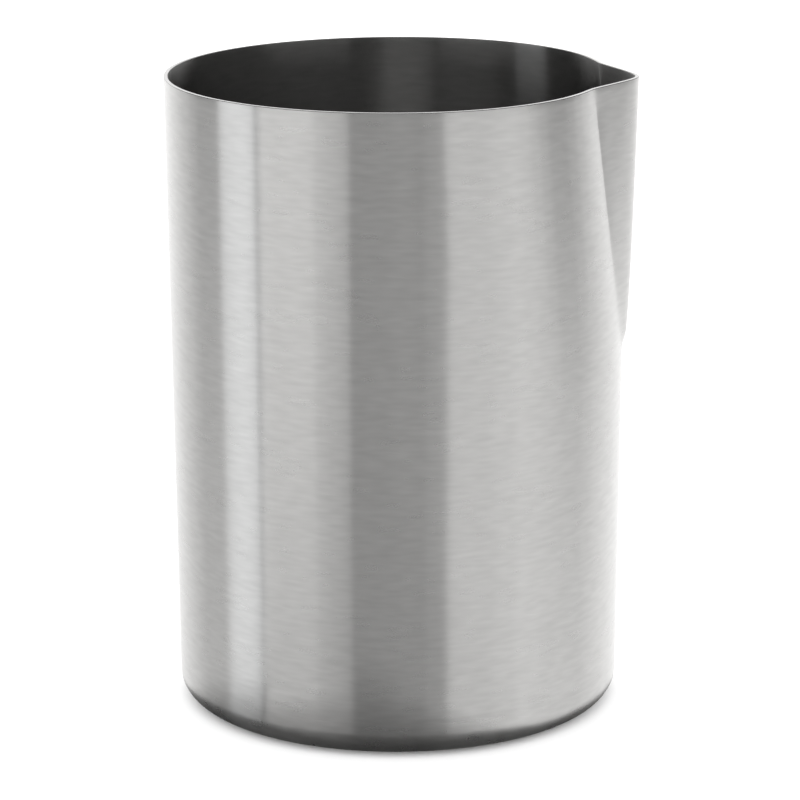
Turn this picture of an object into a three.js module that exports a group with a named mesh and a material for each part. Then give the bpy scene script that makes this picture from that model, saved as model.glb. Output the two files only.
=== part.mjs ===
// A brushed steel mixing vessel: a slightly tapered wall with a pouring spout pressed into its
// lip, closed by a pressed base dish, with a ballast disc sealed under an inner floor.
// Millimetres, +Z up. The vessel's axis is Z, its spout points along +X, and the flat
// underside of the base lies on z = 0.

import * as THREE from "three";

// Driving dimensions, in millimetres.
const HEIGHT = 125; // from the underside to the top of the lip
const LIP_RADIUS = 45; // outside, at the lip
const FOOT_RADIUS = 43.6; // outside, where the wall's cone would meet the underside
const SHEET = 0.8; // thickness of the wall, the base dish and the floor plate
const CORNER_RADIUS = 5; // outside radius where the base turns up into the wall
const WELD_FOOT = 7; // height where the base dish ends and the butt weld starts
const WALL_FOOT = 8; // height where the butt weld ends and the wall starts
const SEAM_WIDTH = 1; // the wall's lengthwise weld, opposite the spout
const CLEARANCE = 0.3; // between the wall's inside and what is set into it

// The spout, a V pressed outwards between two creases that run down the wall.
const SPOUT_ROOT = 70.6; // height where ridge and creases meet
const SPOUT_HALF_ANGLE = THREE.MathUtils.degToRad(21.5); // ridge to crease, at the lip
const SPOUT_REACH = 0.046; // how far the ridge stands out at the lip, in wall radii
const SPOUT_TIP_RADIUS = 7; // rounding of the ridge, in plan
const CREASE_DEPTH = 0.068; // how far the crease sinks in at the lip, in wall radii
const CREASE_SPREAD = 0.6; // power that opens the creases with height
const RIDGE_RISE = 0.38; // power that brings the ridge out with height, fastest at its root
const DRAWN_SPAN = THREE.MathUtils.degToRad(56.5); // wall beside a crease that is drawn in
const DRAWN_POWER = 1.7; // how that wall eases back to the round
const LEAST_SHARE = 0.02; // keeps the two creases apart where they meet
const TANGENT_STEP = 0.002; // radians to each side of a point for the wall's direction there

// The weighted double bottom.
const BALLAST_RADIUS = 38;
const BALLAST_THICKNESS = 6;
const BALLAST_CHAMFER = 1;
const PAD_RADIUS = 25;
const PAD_THICKNESS = 1;
const BEAD_RADIUS = 28.5; // middle of the stiffening bead pressed up into the base
const BEAD_HALF_WIDTH = 2.5;
const BEAD_TOP_HALF_WIDTH = 1.3;
const BEAD_HEIGHT = 0.7;
const FLOOR_EDGE_RADIUS = 1.8; // outside radius where the floor turns down into its skirt
const FLOOR_SKIRT_FOOT = 4.8; // height of the skirt's lower edge
const FILLET_RADIUS = 2.8; // the weld bead in the corner of floor and wall

// Heights that follow from the stack of pieces in the bottom.
const PAD_FOOT = SHEET;
const BALLAST_FOOT = PAD_FOOT + PAD_THICKNESS;
const FLOOR_UNDERSIDE = BALLAST_FOOT + BALLAST_THICKNESS;
const FLOOR_TOP = FLOOR_UNDERSIDE + SHEET;

// Facets.
const TURNED_SEGMENTS = 48; // round a turned piece
const ARC_DIVISIONS = 3; // half the facets of a quarter turn in a turned piece's outline
const SPOUT_SIDE_FACETS = 4;
const DRAWN_WALL_FACETS = 7;
const ROUND_SIDE_FACETS = 3;
const ROUND_BACK_FACETS = 12;
const SPOUT_ROWS = 9;
const LIP_FACETS = 4;

const steel = { color: "#b9bbbc", roughness: 0.36, metalness: 1 };
const weldMetal = { color: "#a9a8a6", roughness: 0.45, metalness: 1 };
const iron = { color: "#4d4b49", roughness: 0.7, metalness: 0.8 };
const silicone = { color: "#d8d4ca", roughness: 0.8, metalness: 0 };

const vessel = new THREE.Group();

function addPiece(name, geometry, look) {
  const piece = new THREE.Mesh(geometry, new THREE.MeshStandardMaterial(look));
  piece.name = name;
  vessel.add(piece);
  return piece;
}

// Outside radius of the plain conical wall at a height.
function coneRadius(z) {
  return THREE.MathUtils.mapLinear(z, 0, HEIGHT, FOOT_RADIUS, LIP_RADIUS);
}

// Turns an outline in the plane of radius and height into a closed solid about Z.
function addTurned(name, outline, look) {
  const geometry = new THREE.LatheGeometry(outline.getPoints(ARC_DIVISIONS), TURNED_SEGMENTS);
  geometry.rotateX(Math.PI / 2);
  return addPiece(name, geometry, look);
}

// ---- The wall and its spout

// How far up the spout a height is: 0 at its root and below, 1 at the lip.
function spoutShare(z) {
  return THREE.MathUtils.clamp((z - SPOUT_ROOT) / (HEIGHT - SPOUT_ROOT), 0, 1);
}

// The angle from the spout's middle to its crease.
function creaseAngle(z) {
  return SPOUT_HALF_ANGLE * Math.max(spoutShare(z), LEAST_SHARE) ** CREASE_SPREAD;
}

// Radius of the wall without its spout's V: round, and drawn in towards the crease.
function drawnRadius(angle, z) {
  const ease = Math.max(0, 1 - (angle - creaseAngle(z)) / DRAWN_SPAN);
  return coneRadius(z) * (1 - CREASE_DEPTH * spoutShare(z) * ease ** DRAWN_POWER);
}

// Radius of one straight side of the spout's V, rounded off at the ridge and ending exactly on
// the crease.
function spoutSideRadius(angle, z) {
  const ridge = coneRadius(z) * (1 + SPOUT_REACH * spoutShare(z) ** RIDGE_RISE);
  const crease = creaseAngle(z);
  const creaseRadius = drawnRadius(crease, z);
  const run = creaseRadius * Math.sin(crease);
  const drop = ridge - creaseRadius * Math.cos(crease);
  const rounding = (SPOUT_TIP_RADIUS * drop) / run / ridge;
  const fall = (turn) => Math.hypot(Math.sin(turn), rounding) - rounding;
  const slope = (ridge / creaseRadius - Math.cos(crease)) / fall(crease);
  return ridge / (Math.cos(angle) + slope * fall(angle));
}

// A point of the wall's outside, at a signed angle from the middle of the spout.
function outsidePoint(angle, z) {
  const turn = Math.abs(angle);
  const onSpout = turn < creaseAngle(z);
  const radius = onSpout ? spoutSideRadius(turn, z) : drawnRadius(turn, z);
  return new THREE.Vector3(radius * Math.cos(angle), radius * Math.sin(angle), z);
}

// A point of the wall at a depth below its outside, square to the sheet.
function wallPoint(angle, z, depth) {
  const ahead = outsidePoint(angle + TANGENT_STEP, z);
  const along = ahead.sub(outsidePoint(angle - TANGENT_STEP, z)).normalize();
  const inward = new THREE.Vector3(-along.y, along.x, 0);
  return outsidePoint(angle, z).addScaledVector(inward, depth);
}

// Angles from the spout's middle to the back seam: closest together at the ridge, one on the
// crease, and one square to the spout so that the facets keep the vessel's full width.
function halfColumns(z) {
  const crease = creaseAngle(z);
  const roundStart = crease + DRAWN_SPAN;
  const side = Math.PI / 2;
  const seam = Math.PI - SEAM_WIDTH / 2 / LIP_RADIUS;
  const angles = [];
  for (let i = 0; i < SPOUT_SIDE_FACETS; i++) {
    angles.push(crease * (i / SPOUT_SIDE_FACETS) ** 2);
  }
  for (let i = 0; i < DRAWN_WALL_FACETS; i++) {
    angles.push(crease + DRAWN_SPAN * (i / DRAWN_WALL_FACETS));
  }
  for (let i = 0; i < ROUND_SIDE_FACETS; i++) {
    angles.push(THREE.MathUtils.lerp(roundStart, side, i / ROUND_SIDE_FACETS));
  }
  for (let i = 0; i <= ROUND_BACK_FACETS; i++) {
    angles.push(THREE.MathUtils.lerp(side, seam, i / ROUND_BACK_FACETS));
  }
  return angles;
}

function wallColumns(z) {
  const half = halfColumns(z);
  const mirrored = half.slice(1).reverse().map((angle) => -angle);
  return [...mirrored, ...half];
}

function seamColumns() {
  const half = SEAM_WIDTH / 2 / LIP_RADIUS;
  return [Math.PI - half, Math.PI, Math.PI + half];
}

// Heights and depths once round the sheet's own outline: up the outside, over the round
// lip, and down the inside.
function sheetStations() {
  const lipRadius = SHEET / 2;
  const lipFoot = HEIGHT - lipRadius;
  const rows = [WALL_FOOT, (WALL_FOOT + SPOUT_ROOT) / 2, SPOUT_ROOT];
  for (let i = 1; i <= SPOUT_ROWS; i++) {
    rows.push(THREE.MathUtils.lerp(SPOUT_ROOT, lipFoot, i / SPOUT_ROWS));
  }
  const outside = rows.map((z) => ({ z, depth: 0 }));
  const inside = rows.map((z) => ({ z, depth: SHEET })).reverse();
  const lip = [];
  for (let i = 1; i < LIP_FACETS; i++) {
    const turn = (Math.PI * i) / LIP_FACETS;
    const depth = lipRadius * (1 - Math.cos(turn));
    lip.push({ z: lipFoot + lipRadius * Math.sin(turn), depth });
  }
  return [...outside, ...lip, ...inside];
}

// A closed solid of the wall's sheet between the first and the last of its columns.
function sheetGeometry(columnsAt) {
  const stations = sheetStations();
  const count = stations.length;
  const grid = stations.map(({ z, depth }) =>
    columnsAt(z).map((angle) => wallPoint(angle, z, depth)),
  );
  const columnCount = grid[0].length;
  const positions = [];
  for (let k = 0; k < columnCount; k++) {
    for (let j = 0; j < count; j++) {
      positions.push(...grid[j][k].toArray());
    }
  }

  const index = [];
  for (let k = 0; k < columnCount - 1; k++) {
    for (let j = 0; j < count; j++) {
      const a = k * count + j;
      const b = a + count;
      const c = (k + 1) * count + ((j + 1) % count);
      const d = k * count + ((j + 1) % count);
      index.push(a, b, c, a, c, d);
    }
  }

  // The sheet's two cut edges, crossed from the outside row to the inside row.
  const last = (columnCount - 1) * count;
  for (let j = 0; j < (count - 1) / 2; j++) {
    const inner = count - 1 - j;
    index.push(j, j + 1, inner);
    index.push(last + j + 1, last + j, last + inner);
    if (j + 1 < inner - 1) {
      index.push(j + 1, inner - 1, inner);
      index.push(last + inner - 1, last + j + 1, last + inner);
    }
  }

  const geometry = new THREE.BufferGeometry();
  geometry.setAttribute("position", new THREE.Float32BufferAttribute(positions, 3));
  geometry.setIndex(index);
  geometry.computeVertexNormals();
  return geometry;
}

addPiece("spouted_wall", sheetGeometry(wallColumns), steel);
addPiece("wall_seam_weld", sheetGeometry(seamColumns), weldMetal);

// ---- The base dish: flat, with a stiffening bead, and a rounded corner up to its skirt

function addBaseDish() {
  const cornerCentre = coneRadius(CORNER_RADIUS) - CORNER_RADIUS;
  const beadSteps = [
    [BEAD_RADIUS - BEAD_HALF_WIDTH, 0],
    [BEAD_RADIUS - BEAD_TOP_HALF_WIDTH, BEAD_HEIGHT],
    [BEAD_RADIUS + BEAD_TOP_HALF_WIDTH, BEAD_HEIGHT],
    [BEAD_RADIUS + BEAD_HALF_WIDTH, 0],
  ];
  const dish = new THREE.Path().moveTo(0, 0);
  beadSteps.forEach(([radius, rise]) => dish.lineTo(radius, rise));
  dish.absarc(cornerCentre, CORNER_RADIUS, CORNER_RADIUS, -Math.PI / 2, 0, false);
  dish.lineTo(coneRadius(WELD_FOOT), WELD_FOOT);
  dish.lineTo(coneRadius(WELD_FOOT) - SHEET, WELD_FOOT);
  dish.absarc(cornerCentre, CORNER_RADIUS, CORNER_RADIUS - SHEET, 0, -Math.PI / 2, true);
  beadSteps.reverse().forEach(([radius, rise]) => dish.lineTo(radius, rise + SHEET));
  dish.lineTo(0, SHEET);
  addTurned("base_dish", dish, steel);
}

// ---- The butt weld that joins the base dish to the wall, ground flush on both sides

function addBaseWeld() {
  const weld = new THREE.Path().moveTo(coneRadius(WELD_FOOT) - SHEET, WELD_FOOT);
  weld.lineTo(coneRadius(WELD_FOOT), WELD_FOOT);
  weld.lineTo(coneRadius(WALL_FOOT), WALL_FOOT);
  weld.lineTo(coneRadius(WALL_FOOT) - SHEET, WALL_FOOT);
  weld.closePath();
  addTurned("base_weld", weld, weldMetal);
}

// ---- The ballast disc and the pad that beds it on the base

function addBallast() {
  const pad = new THREE.Path().moveTo(0, PAD_FOOT);
  pad.lineTo(PAD_RADIUS, PAD_FOOT);
  pad.lineTo(PAD_RADIUS, BALLAST_FOOT);
  pad.lineTo(0, BALLAST_FOOT);
  addTurned("ballast_pad", pad, silicone);

  const disc = new THREE.Path().moveTo(0, BALLAST_FOOT);
  disc.lineTo(BALLAST_RADIUS - BALLAST_CHAMFER, BALLAST_FOOT);
  disc.lineTo(BALLAST_RADIUS, BALLAST_FOOT + BALLAST_CHAMFER);
  disc.lineTo(BALLAST_RADIUS, FLOOR_UNDERSIDE - BALLAST_CHAMFER);
  disc.lineTo(BALLAST_RADIUS - BALLAST_CHAMFER, FLOOR_UNDERSIDE);
  disc.lineTo(0, FLOOR_UNDERSIDE);
  addTurned("ballast_disc", disc, iron);
}

// ---- The inner floor, whose skirt backs the butt weld, and the weld bead that seals it

function addFloor() {
  const skirtRadius = coneRadius(FLOOR_TOP) - SHEET - CLEARANCE;
  const edgeCentre = skirtRadius - FLOOR_EDGE_RADIUS;
  const edgeFoot = FLOOR_TOP - FLOOR_EDGE_RADIUS;
  const floor = new THREE.Path().moveTo(0, FLOOR_UNDERSIDE);
  floor.lineTo(edgeCentre, FLOOR_UNDERSIDE);
  floor.absarc(edgeCentre, edgeFoot, FLOOR_EDGE_RADIUS - SHEET, Math.PI / 2, 0, true);
  floor.lineTo(skirtRadius - SHEET, FLOOR_SKIRT_FOOT);
  floor.lineTo(skirtRadius, FLOOR_SKIRT_FOOT);
  floor.absarc(edgeCentre, edgeFoot, FLOOR_EDGE_RADIUS, 0, Math.PI / 2, false);
  floor.lineTo(0, FLOOR_TOP);
  addTurned("floor_plate", floor, steel);

  const filletCentre = skirtRadius - FILLET_RADIUS;
  const bead = new THREE.Path().moveTo(filletCentre, FLOOR_TOP);
  bead.lineTo(edgeCentre, FLOOR_TOP);
  bead.absarc(edgeCentre, edgeFoot, FLOOR_EDGE_RADIUS, Math.PI / 2, 0, true);
  bead.absarc(filletCentre, FLOOR_TOP + FILLET_RADIUS, FILLET_RADIUS, 0, -Math.PI / 2, true);
  addTurned("floor_weld", bead, weldMetal);
}

addBaseDish();
addBaseWeld();
addBallast();
addFloor();

export default vessel;
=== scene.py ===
"""A brushed steel mixing vessel on a plain pale floor, in soft studio light.

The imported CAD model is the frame. Every visible steel piece is remade here as a fine mesh on the
CAD node's own place, and gets a procedural brushed steel. Lengths are in metres.
"""
import bpy
import math
from mathutils import Matrix, Vector


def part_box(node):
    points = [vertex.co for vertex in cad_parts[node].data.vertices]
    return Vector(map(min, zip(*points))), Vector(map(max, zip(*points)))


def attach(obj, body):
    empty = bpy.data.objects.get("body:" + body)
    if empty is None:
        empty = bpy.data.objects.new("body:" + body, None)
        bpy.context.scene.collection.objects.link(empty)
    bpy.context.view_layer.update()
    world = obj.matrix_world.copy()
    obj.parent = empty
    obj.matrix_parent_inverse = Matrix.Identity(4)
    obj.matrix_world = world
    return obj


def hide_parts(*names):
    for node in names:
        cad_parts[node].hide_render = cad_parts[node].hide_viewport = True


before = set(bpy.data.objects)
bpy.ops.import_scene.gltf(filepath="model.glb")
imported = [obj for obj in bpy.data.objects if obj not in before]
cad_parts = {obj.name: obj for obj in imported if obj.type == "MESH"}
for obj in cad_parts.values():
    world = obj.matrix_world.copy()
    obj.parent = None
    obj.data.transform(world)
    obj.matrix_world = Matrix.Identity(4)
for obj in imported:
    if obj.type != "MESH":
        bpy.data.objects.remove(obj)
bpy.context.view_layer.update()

MM = 0.001
BODY = "root"

# ---------------------------------------------------------------------------------------------
# Driving dimensions: the frame gives the sizes, the numbers here give the shapes between them.

wall_low, wall_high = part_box("spouted_wall")
weld_low, weld_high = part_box("base_weld")
floor_low, floor_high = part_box("floor_plate")
seam_low, seam_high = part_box("wall_seam_weld")

HEIGHT = wall_high.z
WALL_FOOT = wall_low.z
WELD_FOOT = weld_low.z
LIP_RADIUS = -seam_low.x
FOOT_RADIUS = weld_high.y - (LIP_RADIUS - weld_high.y) * WALL_FOOT / (HEIGHT - WALL_FOOT)
FLOOR_TOP = floor_high.z
FLOOR_RADIUS = floor_high.y

SHEET = 0.8 * MM
LIP_CORNER = 0.12 * MM  # rounding of the two corners of the lip's cut edge
SEAM_WIDTH = seam_high.y - seam_low.y
CORNER_RADIUS = 5 * MM  # where the base turns up into the wall

# The spout. A share is a height on it: 0 at its root, 1 at the lip.
SPOUT_ROOT = 70.6 * MM
SPOUT_HALF_ANGLE = math.radians(21.5)  # ridge to crease, at the lip
SPOUT_REACH = wall_high.x / LIP_RADIUS - 1
SPOUT_TIP_RADIUS = 7 * MM  # rounding of the ridge, in plan
RIDGE_RISE = 0.38  # power that brings the ridge out with height
ROOT_SHARE = 0.08  # share over which the ridge starts softly
CREASE_DEPTH = 0.068  # how far the crease sinks in at the lip, in wall radii
CREASE_SPREAD = 0.6  # power that opens the creases with height
LEAST_SHARE = 0.02  # keeps the two creases apart where they meet
DRAWN_SPAN = math.radians(56.5)  # wall beside a crease that is drawn in
DRAWN_POWER = 1.7

# The fold at the crease: sharp on the way up, softer towards the root and at the lip.
CREASE_BLEND = 0.03 * MM
ROOT_BLEND = 0.3 * MM
ROOT_FADE = 0.6
LIP_BLEND = 0.2 * MM
LIP_FADE = 0.12
BLEND_START = 0.1
CREASE_ROLL = 0.15 * MM
CREASE_ROLL_SPAN = math.radians(1.6)
SLOPE_SAMPLE = 0.98  # share of the crease's angle where the V's slope is taken

# The bottom.
BEAD_RADIUS = 28.5 * MM
BEAD_HALF_WIDTH = 2.5 * MM
BEAD_HEIGHT = 0.7 * MM
FLOOR_EDGE_RADIUS = 1.8 * MM
FLOOR_SKIRT_FOOT = floor_low.z
FILLET_RADIUS = 2.8 * MM
FILLET_TOE = 0.6 * MM  # thin edge of the floor's weld bead, on the floor
FILLET_HEEL = 0.4 * MM  # the bead's root, above the foot of the floor's rounded edge
FILLET_LIFT = 0.15 * MM  # height of the bead's hollow above the floor
FIT = 0.02 * MM

# How the wall's mesh is divided.
SIDE_COLUMNS = 32  # ridge to crease
DRAWN_COLUMNS = 56  # crease to the end of the drawn-in wall
ROUND_COLUMNS = 108  # from there to the back seam
SEAM_COLUMNS = 4
RIDGE_CROWDING = 0.12  # gathers columns at ridge and crease
CREASE_CROWDING = 0.55  # gathers columns beside the crease
LOW_ROWS = 10  # foot to the spout's root
SPOUT_ROWS = 64  # from there to the lip
ROOT_CROWDING = 0.4  # gathers rows at the spout's root
LIP_CORNER_STEPS = 5
TANGENT_TURN = 0.0005  # radians to each side of a point for the wall's direction there


# ---------------------------------------------------------------------------------------------
# Mesh helpers

def new_piece(name, vertices, faces, replaced, sharp=math.radians(40)):
    """A mesh object that rides on the body and stands for a CAD node."""
    mesh = bpy.data.meshes.new(name)
    mesh.from_pydata(vertices, [], faces)
    mesh.validate()
    mesh.shade_smooth()
    mesh.set_sharp_from_angle(angle=sharp)
    piece = bpy.data.objects.new(name, mesh)
    bpy.context.scene.collection.objects.link(piece)
    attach(piece, BODY)
    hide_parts(replaced)
    return piece


def arc(centre_r, centre_z, radius, start, end, steps):
    """Points of an arc in the plane of radius and height, angles in degrees."""
    points = []
    for i in range(steps + 1):
        angle = math.radians(start + (end - start) * i / steps)
        points.append((centre_r + radius * math.cos(angle), centre_z + radius * math.sin(angle)))
    return points


def turned(name, outline, replaced, segments=256):
    """Turns a closed outline round Z. Points on the axis become one vertex each."""
    vertices = []
    rings = []
    for radius, z in outline:
        if radius == 0:
            rings.append([len(vertices)] * segments)
            vertices.append((0.0, 0.0, z))
            continue
        rings.append(list(range(len(vertices), len(vertices) + segments)))
        for k in range(segments):
            angle = 2 * math.pi * k / segments
            vertices.append((radius * math.cos(angle), radius * math.sin(angle), z))
    faces = []
    count = len(rings)
    for j in range(count):
        low, high = rings[j], rings[(j + 1) % count]
        for k in range(segments):
            n = (k + 1) % segments
            corners = [low[k], low[n], high[n], high[k]]
            unique = list(dict.fromkeys(corners))
            if len(unique) > 2:
                faces.append(unique)
    return new_piece(name, vertices, faces, replaced)


def smoothstep(t):
    t = min(1.0, max(0.0, t))
    return t * t * (3 - 2 * t)


# ---------------------------------------------------------------------------------------------
# The wall and its spout

def cone_radius(z):
    return FOOT_RADIUS + (LIP_RADIUS - FOOT_RADIUS) * z / HEIGHT


def spout_share(z):
    return min(1.0, max(0.0, (z - SPOUT_ROOT) / (HEIGHT - SPOUT_ROOT)))


def crease_angle(z):
    return SPOUT_HALF_ANGLE * max(spout_share(z), LEAST_SHARE) ** CREASE_SPREAD


def drawn_radius(angle, z):
    """Radius of the wall without the spout's V: round, and drawn in towards the crease."""
    ease = max(0.0, 1 - (angle - crease_angle(z)) / DRAWN_SPAN)
    return cone_radius(z) * (1 - CREASE_DEPTH * spout_share(z) * ease ** DRAWN_POWER)


def spout_side_radius(angle, z):
    """Radius of one straight side of the spout's V, rounded off at the ridge."""
    reach = SPOUT_REACH * spout_share(z) ** RIDGE_RISE * smoothstep(spout_share(z) / ROOT_SHARE)
    ridge = cone_radius(z) * (1 + reach)
    crease = crease_angle(z)
    crease_radius = drawn_radius(crease, z)
    run = crease_radius * math.sin(crease)
    drop = ridge - crease_radius * math.cos(crease)
    rounding = SPOUT_TIP_RADIUS * drop / run / ridge

    def fall(turn):
        return math.hypot(math.sin(turn), rounding) - rounding

    slope = (ridge / crease_radius - math.cos(crease)) / fall(crease)
    return ridge / (math.cos(angle) + slope * fall(angle))


def wall_radius(angle, z):
    """Outside radius of the wall. The V's side rolls in a little close to the crease, and
    blends into the drawn wall at a soft fold."""
    angle = abs(angle)
    drawn = drawn_radius(angle, z)
    if spout_share(z) <= 0:
        return drawn
    crease = crease_angle(z)
    if angle < crease:
        rise = spout_side_radius(angle, z) - drawn
        roll = CREASE_ROLL * math.exp((angle - crease) / CREASE_ROLL_SPAN)
    else:
        back = SLOPE_SAMPLE * crease
        fall = spout_side_radius(back, z) - drawn_radius(back, z)
        rise = -fall * (angle - crease) / (crease - back)
        roll = CREASE_ROLL
    share = spout_share(z)
    near_lip = smoothstep((share - (1 - LIP_FADE)) / LIP_FADE)
    near_root = smoothstep((ROOT_FADE - share) / ROOT_FADE)
    rise -= roll * (1 - near_root) * (1 - near_lip)
    blend = CREASE_BLEND + LIP_BLEND * near_lip + ROOT_BLEND * near_root
    blend *= smoothstep(share / BLEND_START)
    blend *= smoothstep(min(angle / crease, 1 - (angle - crease) / DRAWN_SPAN))
    return drawn + (rise + math.sqrt(rise * rise + 4 * blend * blend)) / 2


def outside_point(angle, z):
    radius = wall_radius(angle, z)
    return Vector((radius * math.cos(angle), radius * math.sin(angle), z))


def crowded(t, crowding):
    """Moves a share between 0 and 1 towards 0, so that even steps start out small."""
    return (1 - crowding) * t + crowding * t * t


def half_columns(z):
    """Angles from the spout's middle to the back seam, closest at the ridge and the crease."""
    crease = crease_angle(z)
    seam = math.pi - SEAM_WIDTH / 2 / LIP_RADIUS
    angles = []
    for i in range(SIDE_COLUMNS):
        t = i / SIDE_COLUMNS
        angles.append(crease * (t - RIDGE_CROWDING * math.sin(2 * math.pi * t)))
    for i in range(DRAWN_COLUMNS):
        angles.append(crease + DRAWN_SPAN * crowded(i / DRAWN_COLUMNS, CREASE_CROWDING))
    start = crease + DRAWN_SPAN
    for i in range(ROUND_COLUMNS + 1):
        angles.append(start + (seam - start) * i / ROUND_COLUMNS)
    return angles


def wall_columns(z):
    half = half_columns(z)
    return [-angle for angle in reversed(half[1:])] + half


def seam_columns(z):
    half = SEAM_WIDTH / 2 / LIP_RADIUS
    return [math.pi + half * (2 * i / SEAM_COLUMNS - 1) for i in range(SEAM_COLUMNS + 1)]


def sheet_stations():
    """Height and depth once round the sheet's outline: up the outside, over the lip's cut edge
    with its two rounded corners, down the inside."""
    lip_foot = HEIGHT - LIP_CORNER
    rows = [WALL_FOOT + (SPOUT_ROOT - WALL_FOOT) * i / LOW_ROWS for i in range(LOW_ROWS)]
    for i in range(SPOUT_ROWS + 1):
        share = crowded(i / SPOUT_ROWS, ROOT_CROWDING)
        rows.append(SPOUT_ROOT + (lip_foot - SPOUT_ROOT) * share)
    outside = [(z, 0.0) for z in rows]
    inside = [(z, SHEET) for z in reversed(rows)]
    lip = []
    for centre, first_turn in ((LIP_CORNER, 0), (SHEET - LIP_CORNER, 90)):
        for i in range(LIP_CORNER_STEPS + 1):
            turn = math.radians(first_turn + 90 * i / LIP_CORNER_STEPS)
            z = lip_foot + LIP_CORNER * math.sin(turn)
            lip.append((z, centre - LIP_CORNER * math.cos(turn)))
    return outside, lip[1:-1], inside


def sheet_mesh(name, columns_at, replaced):
    """A strip of the wall's sheet: its outline, carried round the vessel from column to column
    and closed at both ends."""
    outside, lip, inside = sheet_stations()
    stations = outside + lip + inside
    count = len(stations)
    rows = []
    for z, depth in stations:
        row = []
        for angle in columns_at(z):
            point = outside_point(angle, z)
            before = outside_point(angle - TANGENT_TURN, z)
            along = outside_point(angle + TANGENT_TURN, z) - before
            along.normalize()
            row.append(point + Vector((-along.y, along.x, 0)) * depth)
        rows.append(row)
    width = len(rows[0])
    vertices = [rows[j][k] for k in range(width) for j in range(count)]
    faces = []
    for k in range(width - 1):
        for j in range(count):
            n = (j + 1) % count
            faces.append((k * count + j, (k + 1) * count + j, (k + 1) * count + n, k * count + n))
    last = (width - 1) * count
    faces.append(tuple(range(count)))
    faces.append(tuple(last + j for j in reversed(range(count))))
    return new_piece(name, vertices, faces, replaced)


def paint_sheet(piece, outer, lip, inner):
    """Three materials by where a face lies on the sheet's outline. The two end faces are last."""
    outside, lip_stations, inside = sheet_stations()
    lip_start = len(outside) - 1
    lip_end = len(outside) + len(lip_stations)
    count = lip_end + len(inside)
    for material in (outer, lip, inner):
        piece.data.materials.append(material)
    for polygon in piece.data.polygons:
        if polygon.index >= len(piece.data.polygons) - 2:
            continue
        j = polygon.index % count
        if j < lip_start:
            polygon.material_index = 0
        elif j < lip_end:
            polygon.material_index = 1
        else:
            polygon.material_index = 2


# ---------------------------------------------------------------------------------------------
# The turned pieces of the bottom

def flat_rings(spacing, z, count=5):
    """Points of a flat disc from its middle outwards, evenly spaced."""
    return [(spacing * i, z) for i in range(count)]


def bead_outline(steps=16):
    """Underside of the stiffening bead, a soft ring pressed up into the base."""
    points = []
    for i in range(steps + 1):
        t = i / steps
        radius = BEAD_RADIUS + BEAD_HALF_WIDTH * (2 * t - 1)
        points.append((radius, BEAD_HEIGHT * math.sin(math.pi * t) ** 2))
    return points


def base_dish():
    centre = cone_radius(CORNER_RADIUS) - CORNER_RADIUS
    under = flat_rings(6 * MM, 0) + bead_outline()
    corner = arc(centre, CORNER_RADIUS, CORNER_RADIUS, start=-90, end=0, steps=24)
    edge = [(cone_radius(WELD_FOOT), WELD_FOOT), (cone_radius(WELD_FOOT) - SHEET, WELD_FOOT)]
    inner_corner = arc(centre, CORNER_RADIUS, CORNER_RADIUS - SHEET, start=0, end=-90, steps=24)
    top = [(radius, z + SHEET) for radius, z in reversed(under)]
    return turned("base_dish_skin", under + corner + edge + inner_corner + top, "base_dish")


def base_weld():
    low, high = cone_radius(WELD_FOOT), cone_radius(WALL_FOOT)
    outline = [(low - SHEET, WELD_FOOT), (low, WELD_FOOT), (high, WALL_FOOT),
               (high - SHEET, WALL_FOOT)]
    return turned("base_weld_ring", outline, "base_weld")


def floor_plate():
    centre = FLOOR_RADIUS - FLOOR_EDGE_RADIUS
    edge_foot = FLOOR_TOP - FLOOR_EDGE_RADIUS
    under = flat_rings(8 * MM, FLOOR_TOP - SHEET)
    inner = arc(centre, edge_foot, FLOOR_EDGE_RADIUS - SHEET, start=90, end=0, steps=8)
    skirt = [(FLOOR_RADIUS - SHEET, FLOOR_SKIRT_FOOT), (FLOOR_RADIUS, FLOOR_SKIRT_FOOT)]
    outer = arc(centre, edge_foot, FLOOR_EDGE_RADIUS, start=0, end=90, steps=12)
    top = flat_rings(8 * MM, FLOOR_TOP)[::-1]
    return turned("floor_disc", under + inner + skirt + outer + top, "floor_plate")


def floor_weld():
    wall_inside = cone_radius(FLOOR_TOP + FILLET_RADIUS) - SHEET - FIT
    centre = FLOOR_RADIUS - FLOOR_EDGE_RADIUS
    edge_foot = FLOOR_TOP - FLOOR_EDGE_RADIUS
    root = [(wall_inside - FILLET_RADIUS - FILLET_TOE, FLOOR_TOP + FIT)]
    root += arc(centre, edge_foot, FLOOR_EDGE_RADIUS + FIT, start=88, end=10, steps=12)
    root += [(cone_radius(edge_foot) - SHEET - FIT, edge_foot + FILLET_HEEL)]
    fillet = arc(wall_inside - FILLET_RADIUS, FLOOR_TOP + FILLET_RADIUS + FILLET_LIFT,
                 FILLET_RADIUS, start=0, end=-90, steps=16)
    return turned("floor_weld_fillet", root + fillet, "floor_weld")


# ---------------------------------------------------------------------------------------------
# Materials

STEEL_TINT = (1.0, 0.992, 0.975)
IRON_TINT = (1.0, 1.0, 1.0)
SILICONE_TINT = (1.0, 1.0, 0.93)
GRAIN_DEPTH = 0.004 * MM
WAVE_DEPTH = 0.06 * MM
WANDER = 0.3 * MM  # how far a brushed line strays from straight
STRAY_LEAN = 0.12  # slope of the odd scratch across the brushing
QUARTER_TURN = 0.25  # draws highlights out across the brushing instead of along it


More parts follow.
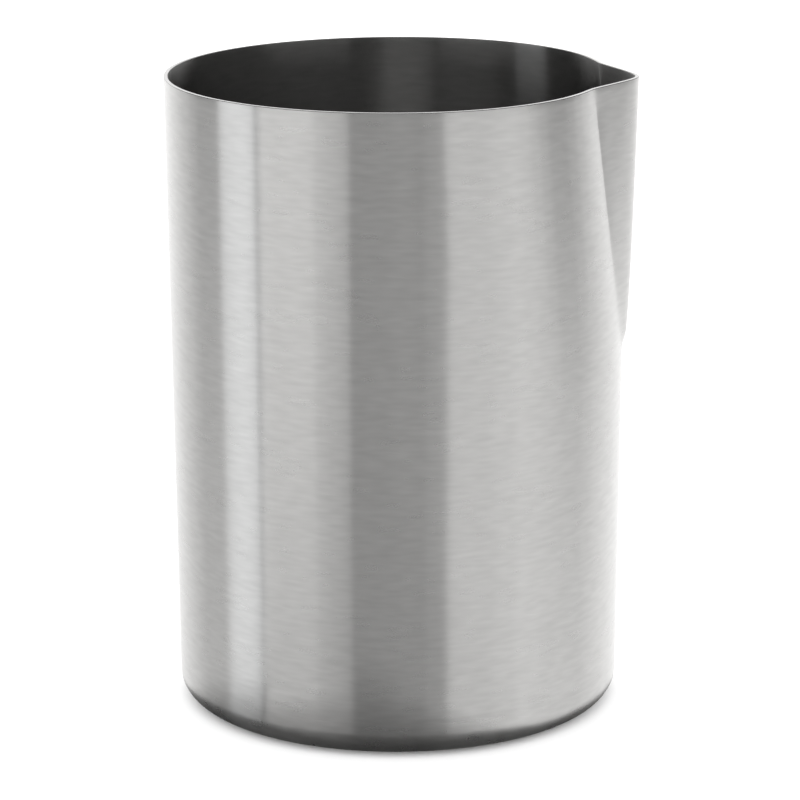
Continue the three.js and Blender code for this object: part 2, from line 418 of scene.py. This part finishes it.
class Nodes:
    """A short way to write a material's node tree. Most calls add a node and return its
    output."""

    def __init__(self, name):
        self.material = bpy.data.materials.new(name)
        self.material.use_nodes = True
        self.tree = self.material.node_tree
        self.tree.nodes.clear()

    def add(self, kind, **settings):
        node = self.tree.nodes.new(kind)
        for key, value in settings.items():
            setattr(node, key, value)
        return node

    def plug(self, node, socket, value):
        if isinstance(value, bpy.types.NodeSocket):
            self.tree.links.new(value, node.inputs[socket])
        else:
            node.inputs[socket].default_value = value

    def math(self, operation, a, b=0.0):
        node = self.add("ShaderNodeMath", operation=operation)
        self.plug(node, 0, a)
        self.plug(node, 1, b)
        return node.outputs[0]

    def sum(self, *terms):
        total = terms[0]
        for term in terms[1:]:
            total = self.math("ADD", total, term)
        return total

    def combine(self, x, y, z):
        node = self.add("ShaderNodeCombineXYZ")
        for socket, value in enumerate((x, y, z)):
            self.plug(node, socket, value)
        return node.outputs[0]

    def noise(self, vector, detail, roughness=0.5):
        node = self.add("ShaderNodeTexNoise")
        self.plug(node, "Vector", vector)
        self.plug(node, "Scale", 1.0)
        self.plug(node, "Detail", detail)
        self.plug(node, "Roughness", roughness)
        return node.outputs["Fac"]

    def remap(self, value, low, high, to_low, to_high):
        node = self.add("ShaderNodeMapRange", clamp=True)
        for socket, number in enumerate((value, low, high, to_low, to_high)):
            self.plug(node, socket, number)
        return node.outputs[0]

    def place(self):
        return self.add("ShaderNodeTexCoord").outputs["Object"]

    def cloud(self, place, size, detail, roughness=0.5):
        """Noise with patches of one size in all directions."""
        scaled = self.add("ShaderNodeVectorMath", operation="SCALE")
        self.plug(scaled, 0, place)
        self.plug(scaled, "Scale", 1 / size)
        return self.noise(scaled.outputs[0], detail, roughness)

    def bump(self, height, depth, normal=None):
        node = self.add("ShaderNodeBump")
        self.plug(node, "Strength", 1.0)
        self.plug(node, "Distance", depth)
        self.plug(node, "Height", height)
        if normal is not None:
            self.plug(node, "Normal", normal)
        return node.outputs[0]

    def finish(self, shader):
        self.plug(self.add("ShaderNodeOutputMaterial"), "Surface", shader.outputs[0])
        return self.material


def brushed_steel(name, tone, roughness, brushing="height", contrast=1.0, anisotropy=1.0):
    """Steel with hair lines that run round the vessel. brushing says which way the lines are
    stacked: up the wall ("height"), out from the axis ("radius"), or both round a corner."""
    n = Nodes(name)
    place = n.place()
    split = n.add("ShaderNodeSeparateXYZ")
    n.plug(split, 0, place)
    x, y, z = split.outputs
    along = n.math("MULTIPLY", n.math("ARCTAN2", y, x), LIP_RADIUS)
    radius = n.math("SQRT", n.math("ADD", n.math("MULTIPLY", x, x), n.math("MULTIPLY", y, y)))
    across = {"height": z, "radius": radius, "both": n.math("SUBTRACT", z, radius)}[brushing]

    def streaks(path, length, width, detail, seed, uneven=0.6):
        """Noise drawn out along the brushing. The path is the place across it."""
        spot = n.combine(n.math("DIVIDE", along, length), n.math("DIVIDE", path, width), seed)
        return n.noise(spot, detail, uneven)

    def swing(value, amount):
        return n.math("MULTIPLY", n.math("SUBTRACT", value, 0.5), amount * contrast)

    wander = streaks(across, length=8 * MM, width=3 * MM, detail=1.0, seed=5.3, uneven=0.5)
    wavy = n.math("ADD", across, n.math("MULTIPLY", wander, WANDER))
    leaning = n.math("ADD", wavy, n.math("MULTIPLY", along, STRAY_LEAN))
    hair = streaks(wavy, length=3.5 * MM, width=0.7 * MM, detail=0.0, seed=1.7)
    strand = streaks(wavy, length=4.5 * MM, width=1.2 * MM, detail=0.0, seed=7.3)
    sweep = streaks(wavy, length=7 * MM, width=1.6 * MM, detail=1.0, seed=4.9)
    band = streaks(wavy, length=30 * MM, width=3 * MM, detail=2.0, seed=3.1)
    stray = streaks(leaning, length=7 * MM, width=0.6 * MM, detail=1.0, seed=11.9)
    scratch = n.remap(stray, low=0.68, high=0.76, to_low=0.0, to_high=1.0)
    mottle = n.cloud(place, 5 * MM, 2.0)
    waviness = n.cloud(place, 22 * MM, 1.0)

    shade = n.sum(1.0, swing(hair, 0.13), swing(strand, 0.11), swing(sweep, 0.05),
                  swing(band, 0.04), swing(mottle, 0.04),
                  n.math("MULTIPLY", scratch, 0.04 * contrast))
    colour = n.combine(*[n.math("MULTIPLY", shade, tone * channel) for channel in STEEL_TINT])
    rough = n.sum(roughness, swing(strand, 0.02), swing(mottle, 0.02), swing(band, 0.02))
    grain = n.bump(sweep, GRAIN_DEPTH * contrast)

    tangent = n.add("ShaderNodeTangent", direction_type="RADIAL", axis="Z")
    shader = n.add("ShaderNodeBsdfPrincipled")
    n.plug(shader, "Base Color", colour)
    n.plug(shader, "Metallic", 1.0)
    n.plug(shader, "Roughness", rough)
    n.plug(shader, "Anisotropic", anisotropy)
    n.plug(shader, "Anisotropic Rotation", QUARTER_TURN)
    n.plug(shader, "Tangent", tangent.outputs[0])
    n.plug(shader, "Normal", n.bump(waviness, WAVE_DEPTH, grain))
    return n.finish(shader)


def speckled(name, size, detail, uneven, tint, shades, roughnesses, metallic, depth):
    """A matt material whose one speckle drives its colour, its roughness and its bump."""
    n = Nodes(name)
    speckle = n.cloud(n.place(), size, detail, uneven)
    shade = n.remap(speckle, 0.3, 0.7, *shades)
    shader = n.add("ShaderNodeBsdfPrincipled")
    colour = n.combine(*[n.math("MULTIPLY", shade, channel) for channel in tint])
    n.plug(shader, "Base Color", colour)
    n.plug(shader, "Metallic", metallic)
    n.plug(shader, "Roughness", n.remap(speckle, 0.3, 0.7, *roughnesses))
    n.plug(shader, "Normal", n.bump(speckle, depth))
    return n.finish(shader)


def cast_iron():
    return speckled("ballast_iron", size=1.5 * MM, detail=5.0, uneven=0.6, tint=IRON_TINT,
                    shades=(0.08, 0.16), roughnesses=(0.55, 0.8), metallic=0.8, depth=0.1 * MM)


def silicone():
    return speckled("bedding_silicone", size=4 * MM, detail=4.0, uneven=0.5, tint=SILICONE_TINT,
                    shades=(0.6, 0.7), roughnesses=(0.6, 0.75), metallic=0.0, depth=0.05 * MM)


def repaint(node, material):
    """Gives a piece that keeps its CAD mesh a material of this scene."""
    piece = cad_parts[node]
    piece.data.materials.clear()
    piece.data.materials.append(material)


# ---------------------------------------------------------------------------------------------
# Camera, floor and light

# The camera stands in front of the vessel, turned round it a little and a little to one side of
# the line through its axis. Angles are in degrees, the lens is in millimetres.
CAMERA_TURN = 6.0
CAMERA_DISTANCE = 696 * MM
CAMERA_SIDE = 0.56 * MM
CAMERA_HEIGHT = 241 * MM
CAMERA_TILT = 14.62
CAMERA_ROLL = -0.17
CAMERA_LENS = 163.3


def add_camera():
    camera = bpy.data.objects.new("studio_camera", bpy.data.cameras.new("studio_camera"))
    bpy.context.scene.collection.objects.link(camera)
    camera.data.lens = CAMERA_LENS
    camera.data.sensor_width = 36
    camera.data.clip_start = 0.01
    turn = math.radians(CAMERA_TURN)
    camera.location = (CAMERA_SIDE * math.cos(turn) + CAMERA_DISTANCE * math.sin(turn),
                       CAMERA_SIDE * math.sin(turn) - CAMERA_DISTANCE * math.cos(turn),
                       CAMERA_HEIGHT)
    look = (Matrix.Rotation(turn, 4, "Z") @ Matrix.Rotation(math.radians(90 - CAMERA_TILT), 4, "X")
            @ Matrix.Rotation(math.radians(CAMERA_ROLL), 4, "Z"))
    camera.rotation_euler = look.to_euler()
    bpy.context.scene.camera = camera


def facing(turn):
    """The level direction at an angle in degrees, counted from the camera's side of the vessel
    towards the camera's right."""
    angle = math.radians(CAMERA_TURN + turn)
    return Vector((math.sin(angle), -math.cos(angle), 0))


def add_flat_shape(name, outline, material):
    """A flat shape of the stage, with one face."""
    mesh = bpy.data.meshes.new(name)
    mesh.from_pydata(outline, [], [tuple(range(len(outline)))])
    mesh.materials.append(material)
    shape = bpy.data.objects.new(name, mesh)
    bpy.context.scene.collection.objects.link(shape)
    return shape


def pale_paint():
    n = Nodes("studio_floor")
    shader = n.add("ShaderNodeBsdfPrincipled")
    n.plug(shader, "Base Color", (0.9, 0.9, 0.9, 1))
    n.plug(shader, "Roughness", 0.9)
    n.plug(shader, "Specular IOR Level", 0.0)
    return n.finish(shader)


def dark_paint():
    n = Nodes("foot_shade")
    shader = n.add("ShaderNodeBsdfDiffuse")
    n.plug(shader, "Color", (0.05, 0.05, 0.05, 1))
    return n.finish(shader)


def add_floor(size=6.0, sides=48):
    """A pale floor that reflections don't see, and that lets the panels' light through."""
    turns = [2 * math.pi * i / sides for i in range(sides)]
    outline = [(size * math.cos(turn), size * math.sin(turn), 0) for turn in turns]
    plane = add_flat_shape("studio_floor", outline, pale_paint())
    plane.visible_glossy = False
    plane.visible_shadow = False


def add_foot_shade(near, far, middle, spread, steps=96, lift=0.1 * MM):
    """The shade round the vessel's foot: a dark shape on the floor that only reflections see.
    It reaches furthest at one angle, and is round beyond a spread to both sides of it."""
    outline = []
    for i in range(steps):
        offset = 360 * i / steps - 180
        radius = near + (far - near) * smoothstep(1 - abs(offset) / spread)
        outline.append(facing(middle + offset) * radius + Vector((0, 0, lift)))
    shade = add_flat_shape("foot_shade", outline, dark_paint())
    shade.visible_camera = False
    shade.visible_diffuse = False
    shade.visible_shadow = False


WHITE = (1.0, 1.0, 1.0)
COOL = (0.97, 0.985, 1.0)
PANEL_DISTANCE = 1.0


def add_area_light(name, shape, area, radiance):
    """A light of even radiance that reflections see and the camera doesn't."""
    light = bpy.data.lights.new(name, "AREA")
    light.shape = shape
    light.energy = radiance * math.pi * area
    panel = bpy.data.objects.new(name, light)
    bpy.context.scene.collection.objects.link(panel)
    panel.visible_camera = False
    return panel


def add_panel(name, start, end, bottom, top, radiance, colour=WHITE):
    """An upright light panel that covers the directions between two angles."""
    width = 2 * PANEL_DISTANCE * math.tan(math.radians(end - start) / 2)
    height = top - bottom
    panel = add_area_light(name, "RECTANGLE", width * height, radiance)
    panel.data.size = width
    panel.data.size_y = height
    panel.data.color = colour
    outward = facing((start + end) / 2)
    panel.location = outward * PANEL_DISTANCE + Vector((0, 0, (bottom + top) / 2))
    panel.rotation_euler = outward.to_track_quat("Z", "Y").to_euler()


def add_low_light(radiance, size, depth):
    """A light far below the floor, which lets it through: the sheen that a pale floor leaves on
    the wall when it is seen from above."""
    panel = add_area_light("panel_below", "DISK", math.pi * (size / 2) ** 2, radiance)
    panel.data.size = size
    panel.location = (0, 0, -depth)
    panel.rotation_euler = (math.pi, 0, 0)


def add_world(backdrop, surround, reflected):
    """A white backdrop for the camera, light for matt surfaces, and dusk for reflections."""
    world = bpy.data.worlds.new("studio")
    bpy.context.scene.world = world
    world.use_nodes = True
    tree = world.node_tree
    tree.nodes.clear()
    path = tree.nodes.new("ShaderNodeLightPath")
    output = tree.nodes.new("ShaderNodeOutputWorld")
    shader = None
    for ray, grey in (("Is Glossy Ray", reflected), ("Is Diffuse Ray", surround),
                      ("Is Camera Ray", backdrop)):
        background = tree.nodes.new("ShaderNodeBackground")
        background.inputs["Color"].default_value = (grey, grey, grey, 1)
        if shader is None:
            shader = background
            continue
        mix = tree.nodes.new("ShaderNodeMixShader")
        tree.links.new(path.outputs[ray], mix.inputs[0])
        tree.links.new(shader.outputs[0], mix.inputs[1])
        tree.links.new(background.outputs[0], mix.inputs[2])
        shader = mix
    tree.links.new(shader.outputs[0], output.inputs["Surface"])


def add_ramp(name, steps, first, last):
    """Narrow panels side by side whose values change evenly from one (angle, bottom, top,
    radiance) to another."""
    def between(k, i):
        return first[k] + (last[k] - first[k]) * i / steps

    for i in range(steps):
        add_panel(f"{name}_{i + 1}", between(0, i), between(0, i + 1), between(1, i + 0.5),
                  between(2, i + 0.5), between(3, i + 0.5))


def add_lights():
    """A ring of soft panels. Its darker stretch in front and its gap on the left make the darker
    bands that run up the steel. The floor hides none of it, so the panels reach below the floor.
    A panel's numbers are its two angles, its bottom and top, and its radiance."""
    add_ramp("panel_left_back", 4, (-180, -1.2, 1.2, 1.22), (-146, -1.2, 0.6, 0.94))
    add_ramp("panel_left_rear", 4, (-146, -1.2, 0.4, 0.93), (-112, -0.6, 0.1, 0.53))
    add_panel("panel_left_grey", -112, -95, -1.0, 0.02, 0.64)
    add_panel("panel_left_bright", -95, -84, -0.6, 0.42, 1.1, COOL)
    add_panel("panel_left_glare", -84, -72, -0.55, 0.38, 1.17, COOL)
    add_panel("panel_left_medium", -70, -58, -0.34, 0.2, 1.37)
    add_panel("panel_left_broad", -58, -40, -0.34, 0.2, 1.38)
    add_ramp("panel_left_fade", 3, (-40, -0.34, 0.2, 1.19), (-22.5, -0.34, 0.2, 0.87))
    add_panel("panel_front_left", -22.5, -8, -0.6, 0.06, 0.415)
    add_panel("panel_left_high", -58, -24, 0.3, 1.1, 0.16)
    add_panel("panel_front_high", -20, 8, 0.25, 0.9, 0.28)
    add_ramp("panel_front_right", 3, (-8, -0.6, 0.06, 0.41), (14, -0.5, 0.09, 0.52))
    add_ramp("panel_front_edge", 2, (14, -0.5, 0.09, 0.6), (25, -0.4, 0.1, 0.71))
    add_panel("panel_right_bright", 25, 50, -0.6, 0.2, 1.0)
    add_panel("panel_right_glare", 50, 68, -0.6, 0.2, 1.05)
    add_panel("panel_right_high", 25, 72, 0.3, 1.1, 0.06)
    add_ramp("panel_right_fade", 3, (68, -0.7, 0.22, 1.0), (88, -0.8, -0.03, 0.94))
    add_panel("panel_right_grey", 88, 104, -0.8, -0.05, 0.95)
    add_ramp("panel_right_rear", 6, (104, -0.9, -0.03, 0.86), (152, -1.2, 0.35, 1.1))
    add_ramp("panel_right_back", 3, (152, -1.2, 0.8, 1.1), (180, -1.2, 1.2, 1.3))


# ---------------------------------------------------------------------------------------------
# Build

add_camera()
bpy.context.scene.view_settings.view_transform = "Standard"

outer = brushed_steel("outer_brushed_steel", tone=0.62, roughness=0.28)
lip = brushed_steel("lip_steel", tone=0.46, roughness=0.25, contrast=0.5, anisotropy=0.0)
# The inside of the same sheet gets a darker tone than the outside: painted shade inside the
# vessel.
inner = brushed_steel("inner_brushed_steel", tone=0.4, roughness=0.3)
weld = brushed_steel("ground_weld", tone=0.61, roughness=0.29)
corner = brushed_steel("base_brushed_steel", tone=0.62, roughness=0.28, brushing="both")
disc = brushed_steel("floor_brushed_steel", tone=0.55, roughness=0.36, brushing="radius")

wall = sheet_mesh("wall_sheet", wall_columns, "spouted_wall")
paint_sheet(wall, outer, lip, inner)
seam = sheet_mesh("seam_weld_bead", seam_columns, "wall_seam_weld")
paint_sheet(seam, weld, lip, weld)
base_dish().data.materials.append(corner)
base_weld().data.materials.append(weld)
floor_plate().data.materials.append(disc)
floor_weld().data.materials.append(weld)
repaint("ballast_disc", cast_iron())
repaint("ballast_pad", silicone())

add_floor()
add_foot_shade(near=46 * MM, far=80 * MM, middle=-20, spread=68)
add_world(backdrop=1.0, surround=1.7, reflected=0.16)
add_lights()
add_low_light(radiance=0.9, size=1.6, depth=1.2)
